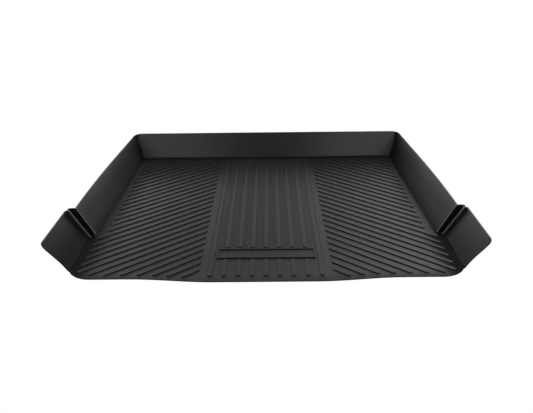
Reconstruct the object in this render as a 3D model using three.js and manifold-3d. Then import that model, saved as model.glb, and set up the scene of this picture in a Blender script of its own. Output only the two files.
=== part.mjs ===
import * as THREE from 'three';
import { mergeVertices } from 'three/addons/utils/BufferGeometryUtils.js';
import Module from 'manifold-3d';

const wasm = await Module();
wasm.setup();

// Car boot liner: one moulded rubber tray, open at the front, where the loading sill is.
// Millimetres, +X to the right, +Y towards the seats, +Z up. The underside lies on Z = 0.
// While it is built, Y = 0 is the middle of the front edge. At the end the tray is centred.

const degrees = Math.PI / 180;

// Sheet and walls
const sheet = 3;                        // thickness of floor and walls
const wallRise = 100;                   // floor to top edge
const footRadius = 3;                   // bend between floor and wall, on the inside
const sideFootAtSlot = 540;             // middle line to the foot of a side wall, which curves in
const sideFootAtBack = 526;             // towards the back
const backFoot = 881.5;                 // front edge to the foot of the back wall
const backLean = 18.5 * degrees;
const sideLeanAtSlot = 25.4 * degrees;  // the side walls stand steeper towards the back
const sideLeanAtBack = 16.8 * degrees;
const cornerRadius = 5;                 // back corners, at the floor
const cornerFlare = 25;                 // how much rounder they are at the top edge
const cornerFlareHold = 8;              // the higher, the closer to the top edge they open up
const cornerClear = 24;                 // foot of the back wall to the last straight bit of side wall

// Ears, the two wide wall panels beside the opening
const earStep = 21.2;                   // how far an ear's foot stands outside its side wall's
const earLean = 27.6 * degrees;
const earFrontAtFloor = 54.5;
const earFrontAtTip = 40.5;
const earTipRise = 85;                  // floor to where the rounded tip starts
const earTipLength = 14;                // length of the rounded tip along the top edge

// Slots, the narrow channels between side walls and ears
const slotFront = 235;
const slotWidth = 12;
const slotDepth = 26.5;                 // side wall foot to the foot of the channel's round end
const slotLean = 22.6 * degrees;
const lipStep = 7.2;                    // how far the slot's front lip stands inside the ear
const lipFillet = 5;
const beadRadius = 2.2;
const beadInset = 1.5;                  // how far the beads stand in from the mouth's edges
const sillRise = 6;

// Front edge of the floor
const frontBow = 16.5;                  // how far the middle of the edge stands forward
const bowFlatHalf = 140;
const bowBlend = 250;
const frontCornerRadius = 80;

// Ribs
const ribWidth = 12;
const ribRise = 3;
const ribFlank = 0.9;                   // how much narrower each side of a rib is at its top
const ribSideMargin = 12;               // rib ends to the feet of the side walls at the back
const ribEarMargin = 23;                // rib ends to the feet of the ears
const ribBackMargin = 22.5;
const straightPitch = 39.6;
const straightFrontMargin = 22;
const straightPairs = 4;
const chevronSlope = 0.758;             // rise over run of a slanting rib, seen from above
const chevronPitch = 35.7;              // along Y
const chevronInner = 190;               // middle line to the inner rib ends
const chevronFirst = 201.5;             // where the first slanting rib would cross the middle line
const chevronFrontMargin = 16;
const shortestChevron = 22;             // a slanting rib shorter than this across X is left out
const trimStep = 1;                     // by how much a rib is shortened at a time

// Plain plate between the straight ribs
const plateHalf = 147;
const plateFront = 111;
const plateDepth = 50;
const plateRimWidth = 4;
const plateRimRise = 3.6;
const plateFieldRise = 0.8;
const plateGap = 5;                     // plate to the ends of the ribs before and behind it

// Values that follow from the sizes above
const overcut = 5;                      // how far a cutting solid reaches past what it cuts
const sunk = 1;                         // how deep ribs, plate and sill are rooted in the floor
const height = sheet + wallRise;
const earFoot = sideFootAtSlot + earStep;
const slotRear = slotFront + slotWidth;
const slotBackFoot = sideFootAtSlot + slotDepth;
const lipFoot = earFoot - lipStep;
const ribLimit = sideFootAtBack - ribSideMargin;
const lipFace = slotFront - sheet;      // the lip is as thick as the sheet
const bend = footRadius + sheet;        // outside radius of the foot bend
const blockFront = -2 * overcut;        // the raw block starts ahead of the front edge
const cutFront = blockFront - 2 * overcut;
const earCutX = earFoot + footRadius / 2;

function solid(geometry) {
  const bare = geometry.clone();
  bare.deleteAttribute('normal');
  bare.deleteAttribute('uv');
  const merged = mergeVertices(bare, 1e-4);
  const mesh = new wasm.Mesh({
    numProp: 3,
    vertProperties: new Float32Array(merged.attributes.position.array),
    triVerts: new Uint32Array(merged.index.array),
  });
  return new wasm.Manifold(mesh);
}

function geometryOf(body) {
  const mesh = body.getMesh();
  const geometry = new THREE.BufferGeometry();
  geometry.setAttribute('position', new THREE.BufferAttribute(new Float32Array(mesh.vertProperties), 3));
  geometry.setIndex(new THREE.BufferAttribute(new Uint32Array(mesh.triVerts), 1));
  geometry.computeVertexNormals();
  return geometry;
}

// Points on a circle, anticlockwise from one angle to another, in degrees
function arc([centreX, centreY], radius, from, to, steps) {
  const points = [];
  for (let i = 0; i <= steps; i++) {
    const angle = (from + (to - from) * i / steps) * degrees;
    points.push([centreX + radius * Math.cos(angle), centreY + radius * Math.sin(angle)]);
  }
  return points;
}

function mirrored(points) {
  return points.map(([x, y]) => [-x, y]).reverse();
}

function onBothSides(body) {
  return body.add(body.mirror([1, 0, 0]));
}

// Closed body through outlines at rising heights, all with the same number of points,
// each outline running anticlockwise seen from above.
function stack(layers) {
  const count = layers[0].points.length;
  const positions = [];
  for (const layer of layers) {
    for (const [x, y] of layer.points) positions.push(x, y, layer.z);
  }
  const index = [];
  for (let level = 0; level + 1 < layers.length; level++) {
    for (let i = 0; i < count; i++) {
      const a = level * count + i;
      const b = level * count + (i + 1) % count;
      index.push(a, b, b + count, a, b + count, a + count);
    }
  }
  const cap = (layer) => THREE.ShapeUtils.triangulateShape(
    layer.points.map(([x, y]) => new THREE.Vector2(x, y)), []);
  const top = (layers.length - 1) * count;
  for (const [a, b, c] of cap(layers[0])) index.push(a, c, b);
  for (const [a, b, c] of cap(layers[layers.length - 1])) index.push(top + a, top + b, top + c);
  const geometry = new THREE.BufferGeometry();
  geometry.setAttribute('position', new THREE.Float32BufferAttribute(positions, 3));
  geometry.setIndex(index);
  return solid(geometry);
}

// How far a wall face stands outside its foot, at a height above the level it bends up from
function wallRun(rise, lean, radius) {
  const bendRise = radius * (1 - Math.sin(lean));
  if (rise < bendRise) return Math.sqrt(rise * (2 * radius - rise));
  return radius * Math.cos(lean) + (rise - bendRise) * Math.tan(lean);
}

function bendRises(radius) {
  return [0, 20, 40, 60, 75].map((angle) => radius * (1 - Math.cos(angle * degrees)));
}

// Heights at which the outlines of a wall are drawn. The back corners flare near the top edge.
function wallRises(radius, top) {
  return [...bendRises(radius), 0.55 * top, 0.8 * top, 0.92 * top, top];
}

// How far along a side wall a place is: 0 at the slot, 1 at the foot of the back wall
function alongSide(y) {
  return (y - slotRear) / (backFoot - slotRear);
}

function sideFoot(y) {
  const share = (1 + Math.cos(alongSide(y) * Math.PI)) / 2;
  return sideFootAtBack + (sideFootAtSlot - sideFootAtBack) * share;
}

function sideLean(y) {
  return sideLeanAtSlot - (sideLeanAtSlot - sideLeanAtBack) * alongSide(y) ** 3;
}

// Right half of the tray's outline at one height, from the front to the back wall, without
// the slot. Grow is 0 for the inner face and the sheet's thickness for the outer face.
function rightOutline(rise, radius, grow, frontEnd) {
  const sideX = (y) => sideFoot(y) + wallRun(rise, sideLean(y), radius);
  const earX = earFoot + wallRun(rise, earLean, radius);
  const lipX = lipFoot + wallRun(rise, earLean, radius);
  const fillet = lipFillet + grow;
  const points = [[earX, frontEnd], ...arc([earX - fillet, lipFace - lipFillet], fillet, 0, 90, 4)];
  if (grow === 0) {
    points.push([lipX, lipFace], [lipX, slotRear]);
  } else {
    points.push([sideX(slotRear), slotFront]);
  }
  const sideSteps = 12;
  const sideEnd = backFoot - cornerClear;
  for (let i = 0; i <= sideSteps; i++) {
    const y = slotRear + (sideEnd - slotRear) * i / sideSteps;
    points.push([sideX(y), y]);
  }
  const round = cornerRadius + cornerFlare * (rise / height) ** cornerFlareHold + grow;
  const cornerX = sideFootAtBack + wallRun(rise, sideLeanAtBack, radius) - round;
  const cornerY = backFoot + wallRun(rise, backLean, radius) - round;
  points.push(...arc([cornerX, cornerY], round, 0, 90, 7));
  return points;
}

// Slot channel at one height: straight sides and a round outer end
function channelOutline(rise, radius, grow) {
  const end = slotWidth / 2 + grow;
  const centreX = slotBackFoot + wallRun(rise, slotLean, radius) - end;
  const middle = slotFront + slotWidth / 2;
  const mouthX = sideFootAtSlot - slotWidth;
  return [
    [mouthX, slotFront - grow],
    ...arc([centreX, middle], end, -90, 90, 6),
    [mouthX, slotRear + grow],
  ];
}

// Body between the underside or floor and the top edge, with both channels
function trayBody(rises, radius, grow, floorZ, frontEnd, topCut) {
  const layers = (outline) => {
    const list = rises.map((rise) => ({ z: floorZ + rise, points: outline(rise) }));
    const top = list[list.length - 1];
    if (topCut > 0) list.push({ z: top.z + topCut, points: top.points });
    return list;
  };
  const tray = stack(layers((rise) => {
    const right = rightOutline(rise, radius, grow, frontEnd);
    return [...right, ...mirrored(right)];
  }));
  const channel = stack(layers((rise) => channelOutline(rise, radius, grow)));
  return tray.add(onBothSides(channel));
}

function trayShell() {
  const outer = trayBody(wallRises(bend, height), bend, sheet, 0, blockFront, 0);
  const inner = trayBody(wallRises(footRadius, wallRise), footRadius, 0, sheet, cutFront, overcut);
  return outer.subtract(inner);
}

// The round corner between the front edge and the foot of an ear, seen from above
function frontCorner() {
  const y = frontBow + frontCornerRadius;
  const sweep = Math.acos((y - earFrontAtFloor) / frontCornerRadius);
  return { x: earCutX - frontCornerRadius * Math.sin(sweep), y, sweep: sweep / degrees };
}

function frontEdgeY(x) {
  const along = THREE.MathUtils.clamp((Math.abs(x) - bowFlatHalf) / bowBlend, 0, 1);
  const pastCorner = Math.max(0, Math.abs(x) - frontCorner().x);
  const cornerRise = frontCornerRadius - Math.sqrt(frontCornerRadius ** 2 - pastCorner ** 2);
  return frontBow * (1 - Math.cos(along * Math.PI)) / 2 + cornerRise;
}

function frontCutter() {
  const right = [];
  const bowSteps = 9;
  for (let i = 0; i <= bowSteps; i++) {
    const x = bowFlatHalf + bowBlend * i / bowSteps;
    right.push([x, frontEdgeY(x)]);
  }
  const corner = frontCorner();
  right.push(...arc([corner.x, corner.y], frontCornerRadius, -90, corner.sweep - 90, 8));
  right.push([earCutX, cutFront]);
  const points = [...mirrored(right), ...right];
  const shape = new THREE.Shape(points.map(([x, y]) => new THREE.Vector2(x, y)));
  const geometry = new THREE.ExtrudeGeometry(shape, { depth: height + 2 * overcut, bevelEnabled: false });
  geometry.translate(0, 0, -overcut);
  return solid(geometry);
}

// Cuts the right ear's front edge. Seen from the side, the edge curves forwards to a rounded tip.
function earCutter() {
  const foot = sheet + footRadius / 2;
  const tip = sheet + earTipRise;
  const straightShare = 0.45;
  const swing = 0.4;
  const shape = new THREE.Shape();
  shape.moveTo(cutFront, -overcut);
  shape.lineTo(earFrontAtFloor, -overcut);
  shape.lineTo(earFrontAtFloor, foot);
  shape.bezierCurveTo(
    earFrontAtFloor, foot + (tip - foot) * straightShare,
    earFrontAtTip + (earFrontAtFloor - earFrontAtTip) * swing, tip - (tip - foot) * swing,
    earFrontAtTip, tip);
  shape.quadraticCurveTo(earFrontAtTip - 1, height, earFrontAtTip + earTipLength, height);
  shape.lineTo(earFrontAtTip + earTipLength, height + overcut);
  shape.lineTo(cutFront, height + overcut);
  const geometry = new THREE.ExtrudeGeometry(
    shape, { depth: wallRise, bevelEnabled: false, curveSegments: 7 });
  geometry.rotateX(90 * degrees);
  geometry.rotateZ(90 * degrees);
  geometry.translate(earCutX, 0, 0);
  return solid(geometry);
}

// Round bead that stands on an edge of the slot's mouth and leans with the wall
function bead(footX, y, lean) {
  const centreX = (rise) => footX + wallRun(Math.max(rise, beadRadius), lean, footRadius) - beadInset;
  return stack([-sunk, beadRadius, footRadius, wallRise].map((rise) => ({
    z: sheet + rise,
    points: arc([centreX(rise), y], beadRadius, 22.5, 337.5, 7),
  })));
}

// Low sill between the two beads, across the foot of the slot's mouth
function sill() {
  const end = (footX, y, lean) =>
    new THREE.Vector2(footX + wallRun(sillRise / 2, lean, footRadius) - beadInset, y);
  const rear = end(sideFootAtSlot, slotRear, sideLeanAtSlot);
  const front = end(lipFoot, slotFront - sheet / 2, earLean);
  const along = front.clone().sub(rear);
  const shape = new THREE.Shape();
  shape.moveTo(-beadRadius, -sunk);
  shape.lineTo(beadRadius, -sunk);
  shape.lineTo(beadRadius, sillRise - beadRadius);
  shape.absarc(0, sillRise - beadRadius, beadRadius, 0, Math.PI, false);
  shape.lineTo(-beadRadius, -sunk);
  const geometry = new THREE.ExtrudeGeometry(
    shape, { depth: along.length(), bevelEnabled: false, curveSegments: 6 });
  geometry.rotateX(90 * degrees);
  geometry.rotateZ(Math.atan2(along.x, -along.y));
  geometry.translate(rear.x, rear.y, sheet);
  return solid(geometry);
}

// Raised rib between two points of the floor, with round ends and sloping flanks
function rib(from, to) {
  const along = new THREE.Vector2(to[0] - from[0], to[1] - from[1]).setLength(ribWidth / 2);
  const heading = along.angle() / degrees;
  const start = [from[0] + along.x, from[1] + along.y];
  const end = [to[0] - along.x, to[1] - along.y];
  const outline = (halfWidth) => [
    ...arc(end, halfWidth, heading - 90, heading + 90, 4),
    ...arc(start, halfWidth, heading + 90, heading + 270, 4),
  ];
  return stack([
    { z: sheet - sunk, points: outline(ribWidth / 2) },
    { z: sheet, points: outline(ribWidth / 2) },
    { z: sheet + ribRise, points: outline(ribWidth / 2 - ribFlank) },
  ]);
}

function straightRibs() {
  const ribs = [];
  const rearEnd = backFoot - ribBackMargin;
  const plateRear = plateFront + plateDepth;
  for (let i = -straightPairs; i <= straightPairs; i++) {
    const x = i * straightPitch;
    const frontEnd = frontEdgeY(x) + straightFrontMargin;
    if (Math.abs(x) - ribWidth / 2 > plateHalf) {
      ribs.push(rib([x, frontEnd], [x, rearEnd]));
    } else {
      ribs.push(rib([x, frontEnd], [x, plateFront - plateGap]));
      ribs.push(rib([x, plateRear + plateGap], [x, rearEnd]));
    }
  }
  return ribs;
}

// A slanting rib ends at the side wall's margin. Ahead of the slot it reaches on to the ear's
// margin, but never past the margin of the front edge.
function chevronOuter(yAt) {
  const earX = earFoot - ribEarMargin;
  let x = yAt(earX) < slotFront ? earX : ribLimit;
  while (yAt(x) < frontEdgeY(x) + chevronFrontMargin) x -= trimStep;
  return x;
}

function chevronRibs() {
  const ribs = [];
  const rearLimit = backFoot - ribBackMargin;
  const lastCrossing = rearLimit + chevronSlope * (ribLimit - shortestChevron);
  for (let crossing = chevronFirst; crossing < lastCrossing; crossing += chevronPitch) {
    const yAt = (x) => crossing - chevronSlope * x;
    const inner = Math.max(chevronInner, (crossing - rearLimit) / chevronSlope);
    const outer = chevronOuter(yAt);
    if (outer - inner < shortestChevron) continue;
    ribs.push(onBothSides(rib([inner, yAt(inner)], [outer, yAt(outer)])));
  }
  return ribs;
}

function box(width, depth, rise, y) {
  const geometry = new THREE.BoxGeometry(width, depth, rise + sunk);
  geometry.translate(0, y, sheet + (rise - sunk) / 2);
  return solid(geometry);
}

// Plain plate: a low field inside a raised rim
function plate() {
  const y = plateFront + plateDepth / 2;
  const rim = box(2 * plateHalf, plateDepth, plateRimRise, y);
  const hollow = box(
    2 * (plateHalf - plateRimWidth), plateDepth - 2 * plateRimWidth, plateRimRise + overcut, y);
  const field = box(2 * plateHalf - plateRimWidth, plateDepth - plateRimWidth, plateFieldRise, y);
  return rim.subtract(hollow).add(field);
}

function liner() {
  const rearBead = bead(sideFootAtSlot, slotRear, sideLeanAtSlot);
  const lipBead = bead(lipFoot, slotFront - sheet / 2, earLean);
  let body = trayShell().add(onBothSides(rearBead.add(lipBead).add(sill())));
  body = body.subtract(onBothSides(earCutter())).subtract(frontCutter());
  for (const piece of [...straightRibs(), ...chevronRibs(), plate()]) body = body.add(piece);
  return body;
}

const overallDepth = backFoot + wallRun(height, backLean, bend);

const rubber = new THREE.MeshStandardMaterial({ color: 0x35363a, roughness: 0.72, metalness: 0 });
const tray = new THREE.Mesh(geometryOf(liner()), rubber);
tray.name = 'liner';
tray.position.set(0, -overallDepth / 2, 0);

const group = new THREE.Group();
group.add(tray);

export default group;
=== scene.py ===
import math
import bpy
from mathutils import Matrix, Vector


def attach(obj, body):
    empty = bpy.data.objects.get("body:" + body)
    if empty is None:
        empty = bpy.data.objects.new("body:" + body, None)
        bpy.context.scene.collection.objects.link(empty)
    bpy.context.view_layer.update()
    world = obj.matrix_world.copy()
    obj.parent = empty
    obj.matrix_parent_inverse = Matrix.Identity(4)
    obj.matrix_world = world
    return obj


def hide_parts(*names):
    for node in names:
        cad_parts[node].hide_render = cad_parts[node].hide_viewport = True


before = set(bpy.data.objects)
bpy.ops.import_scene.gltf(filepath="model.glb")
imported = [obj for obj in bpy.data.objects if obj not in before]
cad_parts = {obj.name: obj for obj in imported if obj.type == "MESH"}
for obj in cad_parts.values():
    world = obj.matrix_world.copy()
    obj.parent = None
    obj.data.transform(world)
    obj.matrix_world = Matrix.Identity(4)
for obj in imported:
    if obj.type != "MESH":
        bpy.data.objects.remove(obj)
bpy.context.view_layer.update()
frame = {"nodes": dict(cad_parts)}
print("frame loaded:", ", ".join(frame["nodes"]))

# Camera: where the photo was taken from, found from the corners of the floor and the rims
photoCamera = {
    "place": (0.01335, -1.57299, 0.83283),
    "pitch": 28.210,            # degrees below the horizon
    "yaw": 0.472,               # degrees to the left
    "roll": -0.760,
    "focal": 499.0,             # in pixels
    "imageWidth": 533,
    "sensorWidth": 36,          # in millimetres
    "farEnd": 30,
}


def placeCamera(setup):
    pitch, yaw, roll = (math.radians(setup[key]) for key in ("pitch", "yaw", "roll"))
    turn = Matrix.Rotation(yaw, 3, "Z")
    forward = turn @ Vector((0, math.cos(pitch), -math.sin(pitch)))
    up = turn @ Vector((0, math.sin(pitch), math.cos(pitch)))
    right = turn @ Vector((1, 0, 0))
    imageRight = math.cos(roll) * right + math.sin(roll) * up
    imageUp = math.cos(roll) * up - math.sin(roll) * right
    facing = Matrix((imageRight, imageUp, -forward)).transposed()
    bpy.ops.object.camera_add()
    camera = bpy.context.object
    camera.name = "photoCamera"
    camera.data.sensor_width = setup["sensorWidth"]
    camera.data.lens = setup["sensorWidth"] * setup["focal"] / setup["imageWidth"]
    camera.data.clip_end = setup["farEnd"]
    camera.matrix_world = Matrix.Translation(setup["place"]) @ facing.to_4x4()
    bpy.context.scene.camera = camera


placeCamera(photoCamera)
print("camera placed")


# Small helpers for node trees

def freePlace(tree):
    row, column = divmod(len(tree.nodes), 8)
    return column * 180 - 700, -500 - row * 200


def addNode(tree, kind, place=None, **values):
    place = place or freePlace(tree)
    node = tree.nodes.new(kind)
    node.location = place
    for name, value in values.items():
        setattr(node, name, value)
    return node


def setInputs(node, values):
    for name, value in values.items():
        node.inputs[name].default_value = value


def feed(tree, socket, value):
    if isinstance(value, bpy.types.NodeSocket):
        tree.links.new(value, socket)
    else:
        socket.default_value = value


def newGroup(name, inputs, outputs):
    group = bpy.data.node_groups.new(name, "ShaderNodeTree")
    for label, kind, value in inputs:
        socket = group.interface.new_socket(label, in_out="INPUT", socket_type=kind)
        if value is not None:
            socket.default_value = value
    for label in outputs:
        group.interface.new_socket(label, in_out="OUTPUT", socket_type="NodeSocketFloat")
    enter = addNode(group, "NodeGroupInput", (-900, 0))
    leave = addNode(group, "NodeGroupOutput", (900, 0))
    return group, enter, leave


def calculate(tree, operation, *values):
    node = addNode(tree, "ShaderNodeMath", operation=operation)
    for socket, value in zip(node.inputs, values):
        feed(tree, socket, value)
    return node.outputs["Value"]


def fade(tree, value, low, high, start=0.0, end=1.0, course="SMOOTHSTEP"):
    node = addNode(tree, "ShaderNodeMapRange", interpolation_type=course)
    setInputs(node, {"From Min": low, "From Max": high, "To Min": start, "To Max": end})
    tree.links.new(value, node.inputs["Value"])
    return node.outputs["Result"]


def blend(tree, factor, first, second):
    node = addNode(tree, "ShaderNodeMix", data_type="RGBA")
    for name, value in (("Factor", factor), ("A", first), ("B", second)):
        socket = [socket for socket in node.inputs if socket.name == name and socket.enabled][0]
        feed(tree, socket, value)
    return [socket for socket in node.outputs if socket.enabled][0]


# Moulded grain: fine noise for the skin of the rubber, slow patches for its bloom, and streaks
# that run front to back
grainPattern = {
    "fine": {"Detail": 3.0, "Roughness": 0.6},
    "patch": {"Detail": 6.0, "Roughness": 0.7, "Distortion": 0.4},
    "streak": {"Scale": 260.0, "Detail": 1.0, "Roughness": 0.5},
    "streakStretch": (1, 0.02, 1),
}


def makeGrainGroup(pattern):
    group, enter, leave = newGroup(
        "mouldedGrain",
        [("Place", "NodeSocketVector", None), ("Grain Scale", "NodeSocketFloat", 900.0),
         ("Patch Scale", "NodeSocketFloat", 6.0)],
        ["Grain", "Patch", "Streak"])
    fine = addNode(group, "ShaderNodeTexNoise", (-500, 150))
    setInputs(fine, pattern["fine"])
    group.links.new(enter.outputs["Place"], fine.inputs["Vector"])
    group.links.new(enter.outputs["Grain Scale"], fine.inputs["Scale"])
    patch = addNode(group, "ShaderNodeTexNoise", (-500, -150))
    setInputs(patch, pattern["patch"])
    group.links.new(enter.outputs["Place"], patch.inputs["Vector"])
    group.links.new(enter.outputs["Patch Scale"], patch.inputs["Scale"])
    stretched = addNode(group, "ShaderNodeVectorMath", (-700, -400), operation="MULTIPLY")
    stretched.inputs[1].default_value = pattern["streakStretch"]
    streak = addNode(group, "ShaderNodeTexNoise", (-500, -400))
    setInputs(streak, pattern["streak"])
    group.links.new(enter.outputs["Place"], stretched.inputs[0])
    group.links.new(stretched.outputs["Vector"], streak.inputs["Vector"])
    group.links.new(fine.outputs["Fac"], leave.inputs["Grain"])
    group.links.new(patch.outputs["Fac"], leave.inputs["Patch"])
    group.links.new(streak.outputs["Fac"], leave.inputs["Streak"])
    return group


# Places on the tray where light and shade are painted: shade at the feet of the side walls, in the back
# corners, beside the ears, in front of the back wall, at the front edge, on the middle of the back wall,
# on the sheet's edge and underside and inside the slots; light on the walls and on the band of straight
# ribs;
# shade on the ears and in the valleys between the straight ribs; and highlights on the slots' beads
trayPlan = {                    # metres, in the shared frame
    "floorTop": 0.003,
    "sideFootAtSlot": 0.540,
    "sideFootAtBack": 0.526,
    "earFoot": 0.5612,
    "lipFoot": 0.554,
    "slotFront": -0.22514,
    "slotRear": -0.21314,
    "slotSpare": 0.0004,
    "backFoot": 0.42136,
    "sideSlope": 0.302,         # how far a wall runs outwards per metre of its height
    "backSlope": 0.335,
    "slotSlope": 0.475,
    "lipSlope": 0.523,
    "lipBeadAhead": 0.0015,
    "beadReach": 0.0021,
    "beadWidth": 0.003,
    "footReachOnFloor": 0.011,  # how far the shade at a foot spreads
    "footReachOnWall": 0.080,
    "earReachOnFloor": 0.080,
    "backReachOnFloor": 0.070,
    "bendReach": 0.004,
    "cornerReach": 0.15,
    "straightHalf": 0.170,
    "fades": {                  # from where to where, then the value at each end
        # the fades below shape where shade, light and highlights are painted
        "footShade": (-0.3, 1.0, 1.0, 0.0),         # in parts of the shade's reach
        "earShade": (0.2, 1.0, 1.0, 0.0),
        "backShade": (0.0, 1.0, 1.0, 0.0),
        "footLift": (0.0, 0.003, 0.0, 0.12),        # the wall is lighter than the floor
        "cornerEdge": (-0.004, 0.001),
        "cornerRise": (0.03, 0.10, 1.0, 0.7),
        "frontShade": (-0.455, -0.405, 0.6, 0.0),
        "frontShadeAcross": (0.10, 0.50, 0.9, 1.0),
        "backMiddle": (0.0, 0.34, 0.33, 0.0),
        "cutEdge": (0.001, 0.003, 0.8, 0.0),        # the sheet's edge and its underside
        "slotDepth": (0.003, 0.006),
        "beadRise": (0.002, 0.008),
        "straightFront": (-0.359, -0.299, 0.3, 1.0),
        "valleyRise": (0.0003, 0.0025, 1.0, 0.0),
        "valleyRear": (-0.25, -0.05, 1.0, 0.0),     # ahead of the back wall
        "wallRise": (0.004, 0.010),
        "wallAcross": (0.05, 0.45),
    },
}


def makePlacesGroup(plan):
    group, enter, leave = newGroup(
        "placesOnTray",
        [("Place", "NodeSocketVector", None)],
        ["Shade", "BeadHighlight", "LitWall", "ShadedEar", "LitStraight", "ShadedValley"])
    parts = addNode(group, "ShaderNodeSeparateXYZ", (-700, 0))
    group.links.new(enter.outputs["Place"], parts.inputs["Vector"])

    def do(operation, *values):
        return calculate(group, operation, *values)

    def fadeOf(value, name):
        return fade(group, value, *plan["fades"][name])

    along = parts.outputs["Y"]
    across = do("ABSOLUTE", parts.outputs["X"])
    rise = do("MAXIMUM", do("SUBTRACT", parts.outputs["Z"], plan["floorTop"]), 0.0)
    ahead = do("LESS_THAN", along, plan["slotFront"])
    behindSlot = do("GREATER_THAN", along, plan["slotRear"])
    behind = do("SUBTRACT", along, plan["backFoot"])
    onWall = fadeOf(rise, "wallRise")

    # painted shade at the feet of the side walls, which curve in towards the back
    swing = fade(group, along, plan["slotRear"], plan["backFoot"], 0.0, math.pi, "LINEAR")
    inset = (plan["sideFootAtSlot"] - plan["sideFootAtBack"]) / 2
    foot = do("MULTIPLY_ADD", do("COSINE", swing), inset, plan["sideFootAtBack"] + inset)
    beyond = do("SUBTRACT", across, foot)
    nearSide = do("GREATER_THAN", do("DIVIDE", beyond, plan["sideSlope"]),
                  do("DIVIDE", behind, plan["backSlope"]))
    onSide = do("MULTIPLY", nearSide, behindSlot)
    toFoot = do("MAXIMUM", do("MULTIPLY", beyond, -1.0), 0.0)
    fromFoot = do("ADD", do("DIVIDE", toFoot, plan["footReachOnFloor"]),
                  do("DIVIDE", rise, plan["footReachOnWall"]))
    fromFoot = do("ADD", fromFoot, fadeOf(rise, "footLift"))
    footShade = do("MULTIPLY", fadeOf(fromFoot, "footShade"), onSide)

    # painted shade on the side walls near the back corners
    corner = fade(group, along, plan["backFoot"] - plan["cornerReach"], plan["backFoot"])
    corner = do("MULTIPLY", do("MULTIPLY", corner, onSide), fadeOf(beyond, "cornerEdge"))
    corner = do("MULTIPLY", corner, fadeOf(rise, "cornerRise"))

    # painted shade on the floor beside the ears and below the back wall
    bent = do("DIVIDE", rise, plan["bendReach"])
    toEar = do("MAXIMUM", do("SUBTRACT", plan["earFoot"], across), 0.0)
    fromEar = do("MULTIPLY_ADD", toEar, 1 / plan["earReachOnFloor"], bent)
    earShade = do("MULTIPLY", fadeOf(fromEar, "earShade"), ahead)
    toBack = do("MAXIMUM", do("MULTIPLY", behind, -1.0), 0.0)
    fromBack = do("MULTIPLY_ADD", toBack, 1 / plan["backReachOnFloor"], bent)
    backShade = fadeOf(fromBack, "backShade")

    # painted shade at the front edge, on the middle of the back wall, and on the edge of the sheet
    frontShade = do("MULTIPLY", fadeOf(along, "frontShade"), fadeOf(across, "frontShadeAcross"))
    backMiddle = do("MULTIPLY", fadeOf(across, "backMiddle"), do("GREATER_THAN", behind, 0.0))
    cutEdge = fadeOf(parts.outputs["Z"], "cutEdge")

    # painted shade in the slots: between their two faces, and deeper than the beads
    middle = (plan["slotFront"] + plan["slotRear"]) / 2
    halfSlot = (plan["slotRear"] - plan["slotFront"]) / 2 + plan["slotSpare"]
    fromRearBead = do("SUBTRACT", do("SUBTRACT", across, plan["sideFootAtSlot"]),
                      do("MULTIPLY", rise, plan["slotSlope"]))
    fromLipBead = do("SUBTRACT", do("SUBTRACT", across, plan["lipFoot"]),
                     do("MULTIPLY", rise, plan["lipSlope"]))
    inSlot = do("COMPARE", along, middle, halfSlot)
    slotShade = do("MULTIPLY", inSlot, fadeOf(fromRearBead, "slotDepth"))

    # painted highlights on the beads along the slots
    rear = do("MULTIPLY", do("COMPARE", along, plan["slotRear"], plan["beadReach"]),
              do("COMPARE", fromRearBead, 0.0, plan["beadWidth"]))
    lipBeadLine = plan["slotFront"] - plan["lipBeadAhead"]
    lip = do("MULTIPLY", do("COMPARE", along, lipBeadLine, plan["beadReach"]),
             do("COMPARE", fromLipBead, 0.0, plan["beadWidth"]))
    beadHighlight = do("MULTIPLY", do("MAXIMUM", rear, lip), fadeOf(rise, "beadRise"))

    # the band of straight ribs, lighter with painted light, and the valleys between them, darker with
    # painted shade
    straight = do("MULTIPLY", do("LESS_THAN", across, plan["straightHalf"]),
                  do("LESS_THAN", behind, 0.0))
    straight = do("MULTIPLY", straight, fadeOf(along, "straightFront"))
    # painted shade in the valleys between the straight ribs, away from the back wall
    valley = do("MULTIPLY", fadeOf(rise, "valleyRise"), fadeOf(behind, "valleyRear"))

    shade = footShade
    for other in (corner, earShade, slotShade, backShade, frontShade, cutEdge, backMiddle):
        shade = do("MAXIMUM", shade, other)
    # painted light on the walls behind the slots, fading out towards the middle of the back wall
    wall = do("MULTIPLY", onWall, do("MULTIPLY", behindSlot, fadeOf(across, "wallAcross")))
    group.links.new(shade, leave.inputs["Shade"])
    group.links.new(beadHighlight, leave.inputs["BeadHighlight"])
    group.links.new(wall, leave.inputs["LitWall"])
    # painted shade on the ears ahead of the slots
    group.links.new(do("MULTIPLY", onWall, ahead), leave.inputs["ShadedEar"])
    group.links.new(straight, leave.inputs["LitStraight"])
    group.links.new(do("MULTIPLY", valley, straight), leave.inputs["ShadedValley"])
    return group


# The real tray is one rubber of one colour. The other colours here, and the shade painted by place,
# were adjusted to the photo's light. For a plain tray, all of them are set to the first colour, and
# shadeDepth and shadeRoughness to 0.
rubberFinish = {
    "colour": (0.033, 0.0321, 0.0328, 1),
    # painted light on the walls and the band of straight ribs, painted shade on the ears and in the
    # valleys, and painted highlights on the beads
    "litWallColour": (0.060, 0.0585, 0.0605, 1),
    "shadedEarColour": (0.018, 0.0177, 0.018, 1),
    "litStraightColour": (0.038, 0.037, 0.0377, 1),
    "shadedValleyColour": (0.003, 0.0029, 0.003, 1),
    "beadHighlightColour": (0.28, 0.274, 0.28, 1),
    "shadeDepth": 0.92,         # the share of the colour that full shade takes away
    "shadeRoughness": 0.55,
    "streakStrength": 0.5,
    "streakRange": (0.35, 0.65),
    "patchDarkening": 0.14,
    "noiseRange": (0.3, 0.7),   # the part of the noise's range that is used
    "specular": 0.4,
    "roughness": 0.31,
    "roughnessSwing": 0.06,
    "grainScale": 700.0,
    "patchScale": 5.0,
    "grainStrength": 0.5,
    "grainDepth": 0.00025,
}


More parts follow.
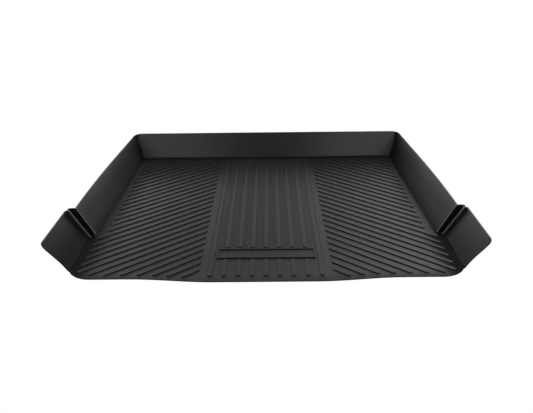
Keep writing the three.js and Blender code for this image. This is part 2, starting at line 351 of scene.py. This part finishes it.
def makeRubber(finish, pattern, plan):
    material = bpy.data.materials.new("mouldedRubber")
    material.use_nodes = True
    tree = material.node_tree
    shader = tree.nodes["Principled BSDF"]
    setInputs(shader, {"Specular IOR Level": finish["specular"]})
    place = addNode(tree, "ShaderNodeTexCoord", (-1200, 0))
    grain = addNode(tree, "ShaderNodeGroup", (-900, 200), node_tree=makeGrainGroup(pattern))
    setInputs(grain, {"Grain Scale": finish["grainScale"], "Patch Scale": finish["patchScale"]})
    places = addNode(tree, "ShaderNodeGroup", (-900, -100), node_tree=makePlacesGroup(plan))
    tree.links.new(place.outputs["Object"], grain.inputs["Place"])
    tree.links.new(place.outputs["Object"], places.inputs["Place"])
    shade = places.outputs["Shade"]

    # colour: by place (painted light on the band of straight ribs and the walls, painted shade on the
    # ears and, with streaks, in the valleys, painted highlights on the beads), then slow patches and the
    # painted shade
    colour = blend(tree, places.outputs["LitStraight"], finish["colour"], finish["litStraightColour"])
    colour = blend(tree, places.outputs["LitWall"], colour, finish["litWallColour"])
    colour = blend(tree, places.outputs["ShadedEar"], colour, finish["shadedEarColour"])
    streaked = fade(tree, grain.outputs["Streak"], *finish["streakRange"],
                    1.0, 1 - finish["streakStrength"])
    streaked = calculate(tree, "MULTIPLY", places.outputs["ShadedValley"], streaked)
    colour = blend(tree, streaked, colour, finish["shadedValleyColour"])
    colour = blend(tree, places.outputs["BeadHighlight"], colour, finish["beadHighlightColour"])
    swing = finish["patchDarkening"]
    patches = fade(tree, grain.outputs["Patch"], *finish["noiseRange"], 1 - swing, 1 + swing, "LINEAR")
    kept = calculate(tree, "MULTIPLY_ADD", shade, -finish["shadeDepth"], 1.0)
    shaded = addNode(tree, "ShaderNodeVectorMath", (-350, 300), operation="SCALE")
    tree.links.new(colour, shaded.inputs["Vector"])
    tree.links.new(calculate(tree, "MULTIPLY", patches, kept), shaded.inputs["Scale"])
    tree.links.new(shaded.outputs["Vector"], shader.inputs["Base Color"])

    # gloss: uneven with the grain, and dull where shade is painted
    level, swing = finish["roughness"], finish["roughnessSwing"]
    rough = fade(tree, grain.outputs["Grain"], *finish["noiseRange"], level - swing, level + swing,
                 "LINEAR")
    rough = calculate(tree, "MULTIPLY_ADD", shade, finish["shadeRoughness"], rough)
    tree.links.new(rough, shader.inputs["Roughness"])

    bump = addNode(tree, "ShaderNodeBump", (-350, -300))
    setInputs(bump, {"Strength": finish["grainStrength"], "Distance": finish["grainDepth"]})
    tree.links.new(grain.outputs["Grain"], bump.inputs["Height"])
    tree.links.new(bump.outputs["Normal"], shader.inputs["Normal"])
    return material


rubber = makeRubber(rubberFinish, grainPattern, trayPlan)
print("rubber mixed")

# The tray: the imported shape, cleaned up, with every moulded edge rounded
trayShape = {
    "mergeDistance": 0.00002,
    "flatAngle": 0.3,           # degrees: faces this close to flat become one
    "edgeRound": 0.0009,        # radius of the moulded edges
    "edgeSteps": 2,
    "edgeAngle": 50,            # degrees: sharper edges than this are rounded
    "smoothAngle": 50,
    "flatWeight": 100,          # how strongly the large faces set the shading
}


def copyOfNode(name, pieceName):
    bpy.ops.object.select_all(action="DESELECT")
    node = frame["nodes"][name]
    node.select_set(True)
    bpy.context.view_layer.objects.active = node
    bpy.ops.object.duplicate()
    piece = bpy.context.object
    piece.name = pieceName
    piece.parent = None
    for key in [key for key in piece.keys() if key.startswith("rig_")]:
        del piece[key]
    return piece


def buildTray(shape):
    tray = copyOfNode("liner", "trayMoulding")
    bpy.ops.object.mode_set(mode="EDIT")
    bpy.ops.mesh.select_all(action="SELECT")
    bpy.ops.mesh.remove_doubles(threshold=shape["mergeDistance"])
    bpy.ops.mesh.dissolve_limited(angle_limit=math.radians(shape["flatAngle"]))
    bpy.ops.object.mode_set(mode="OBJECT")
    rounding = tray.modifiers.new("mouldedEdges", "BEVEL")
    rounding.width = shape["edgeRound"]
    rounding.segments = shape["edgeSteps"]
    rounding.limit_method = "ANGLE"
    rounding.angle_limit = math.radians(shape["edgeAngle"])
    rounding.miter_outer = "MITER_ARC"
    bpy.ops.object.modifier_apply(modifier=rounding.name)
    bpy.ops.object.shade_smooth_by_angle(angle=math.radians(shape["smoothAngle"]))
    evening = tray.modifiers.new("evenShading", "WEIGHTED_NORMAL")
    evening.keep_sharp = True
    evening.weight = shape["flatWeight"]
    bpy.ops.object.modifier_apply(modifier=evening.name)
    tray.data.materials.clear()
    tray.data.materials.append(rubber)
    return tray


tray = buildTray(trayShape)
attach(tray, "root")
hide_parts("liner")
print("tray built:", len(tray.data.polygons), "faces")

# Studio: a pale floor that the camera sees as plain white, and a dim sky with soft, low glows.
# The rubber is dark and half glossy, so it shows mostly these.
studio = {
    "floorSize": 12.0,
    "floorDrop": 0.0005,
    "floorColour": (0.80, 0.80, 0.80, 1),
    "backdropColour": (1, 1, 1, 1),
    "glowColour": (1.0, 0.965, 0.985, 1),
    "fill": 0.02,               # light from all round
    "glows": {                  # degrees to the right of the back wall, above the floor, reach; strength
        "lowBackLeft": (-20, 6, 20, 2.9),
        "lowBackRight": (20, 6, 20, 3.3),
        "back": (0, 20, 26, 0.45),
        "left": (-36, 20, 22, 1.8),
        "highRight": (36, 38, 26, 1.95),
        "frontRight": (165, 14, 14, 2.4),
        "frontLeft": (-165, 14, 14, 1.8),
        "above": (0, 90, 60, 0.7),
    },
}


def whiteToCamera(tree, lit, whiteKind, surfaceKind, colour):
    seen = addNode(tree, "ShaderNodeLightPath", (-300, 300))
    white = addNode(tree, whiteKind, (-300, -250))
    setInputs(white, {"Color": colour, "Strength": 1.0})
    mix = addNode(tree, "ShaderNodeMixShader", (0, 0))
    surface = addNode(tree, surfaceKind, (250, 0))
    tree.links.new(seen.outputs["Is Camera Ray"], mix.inputs["Fac"])
    tree.links.new(lit.outputs[0], mix.inputs[1])
    tree.links.new(white.outputs[0], mix.inputs[2])
    tree.links.new(mix.outputs["Shader"], surface.inputs["Surface"])


def makeFloor(setup):
    bpy.ops.mesh.primitive_plane_add(size=setup["floorSize"], location=(0, 0, -setup["floorDrop"]))
    floor = bpy.context.object
    floor.name = "studioFloor"
    material = bpy.data.materials.new("studioPaper")
    material.use_nodes = True
    tree = material.node_tree
    tree.nodes.clear()
    paper = addNode(tree, "ShaderNodeBsdfDiffuse", (-300, -50))
    setInputs(paper, {"Color": setup["floorColour"]})
    whiteToCamera(tree, paper, "ShaderNodeEmission", "ShaderNodeOutputMaterial", setup["backdropColour"])
    floor.data.materials.append(material)


def makeSky(setup):
    world = bpy.data.worlds.new("studioSky")
    bpy.context.scene.world = world
    world.use_nodes = True
    tree = world.node_tree
    tree.nodes.clear()
    facing = addNode(tree, "ShaderNodeTexCoord", (-1000, -500))
    total = setup["fill"]
    for label, (turn, rise, reach, strength) in setup["glows"].items():
        turn, rise = math.radians(turn), math.radians(rise)
        towards = addNode(tree, "ShaderNodeVectorMath", operation="DOT_PRODUCT", label=label)
        towards.inputs[1].default_value = (
            math.sin(turn) * math.cos(rise), math.cos(turn) * math.cos(rise), math.sin(rise))
        tree.links.new(facing.outputs["Generated"], towards.inputs[0])
        glow = fade(tree, towards.outputs["Value"], math.cos(math.radians(reach)), 1.0, 0.0, strength)
        total = calculate(tree, "ADD", glow, total)
    soft = addNode(tree, "ShaderNodeBackground", (-300, -50))
    setInputs(soft, {"Color": setup["glowColour"]})
    tree.links.new(total, soft.inputs["Strength"])
    whiteToCamera(tree, soft, "ShaderNodeBackground", "ShaderNodeOutputWorld", setup["backdropColour"])


makeFloor(studio)
makeSky(studio)
bpy.context.scene.view_settings.view_transform = "Standard"
print("studio lit")
